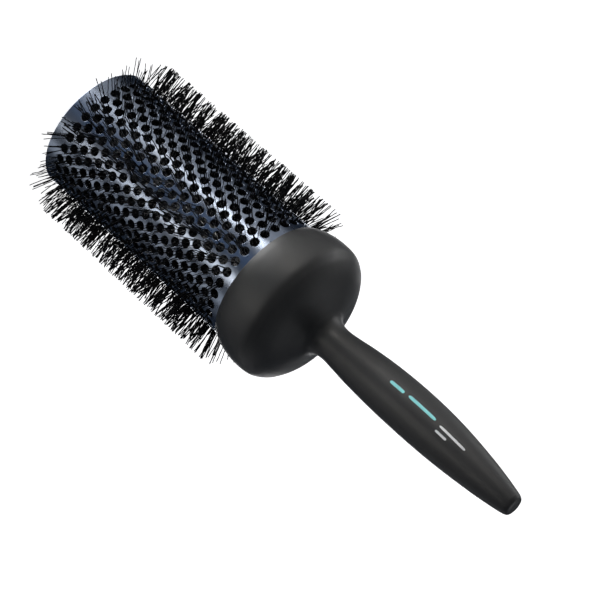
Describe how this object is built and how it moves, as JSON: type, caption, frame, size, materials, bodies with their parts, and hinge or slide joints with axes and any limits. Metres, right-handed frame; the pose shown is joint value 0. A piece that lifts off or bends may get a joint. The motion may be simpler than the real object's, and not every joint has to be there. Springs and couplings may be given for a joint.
{
  "type": "round barrel hair brush",
  "caption": "Round blow-dry hair brush: perforated metal barrel ringed with nylon bristles, on a waisted soft-touch handle with a wide rounded collar.",
  "frame": {"origin": "centre of the flat free end of the barrel, on which the brush stands", "axes": "+Z along the axis of the brush, from the barrel's free end to the tip of the handle; a tuft of the first bristle row points along -Y"},
  "size_m": [0.0908, 0.091, 0.2762],
  "materials": {
    "barrel_metal": "polished, blue-grey graphite coating",
    "bristle_nylon": "black crimped nylon filament, slight sheen",
    "soft_touch": "matte charcoal soft-touch skin",
    "hard_plastic": "satin black moulded plastic",
    "stem_steel": "drawn galvanised wire",
    "sleeve_metal": "crimped, dull"
  },
  "bodies": {
    "root": {"barrel": "barrel_metal", "bristle_row_01": "bristle_nylon", "bristle_row_02": "bristle_nylon", "bristle_row_03": "bristle_nylon", "bristle_row_04": "bristle_nylon", "bristle_row_05": "bristle_nylon", "bristle_row_06": "bristle_nylon", "bristle_row_07": "bristle_nylon", "bristle_row_08": "bristle_nylon", "bristle_row_09": "bristle_nylon", "bristle_row_10": "bristle_nylon", "bristle_row_11": "bristle_nylon", "bristle_row_12": "bristle_nylon", "bristle_row_13": "bristle_nylon", "bristle_row_14": "bristle_nylon", "bristle_row_15": "bristle_nylon", "bristle_row_16": "bristle_nylon", "bristle_row_17": "bristle_nylon", "bristle_row_18": "bristle_nylon", "bristle_row_19": "bristle_nylon", "bristle_row_20": "bristle_nylon", "bristle_row_21": "bristle_nylon", "bristle_row_22": "bristle_nylon", "front_cap": "hard_plastic", "stem_carrier": "hard_plastic", "stem_wire_a": "stem_steel", "stem_wire_b": "stem_steel", "tip_sleeve": "sleeve_metal", "tail_sleeve": "sleeve_metal", "handle_core": "hard_plastic", "handle_skin": "soft_touch"}
  },
  "joints": []
}
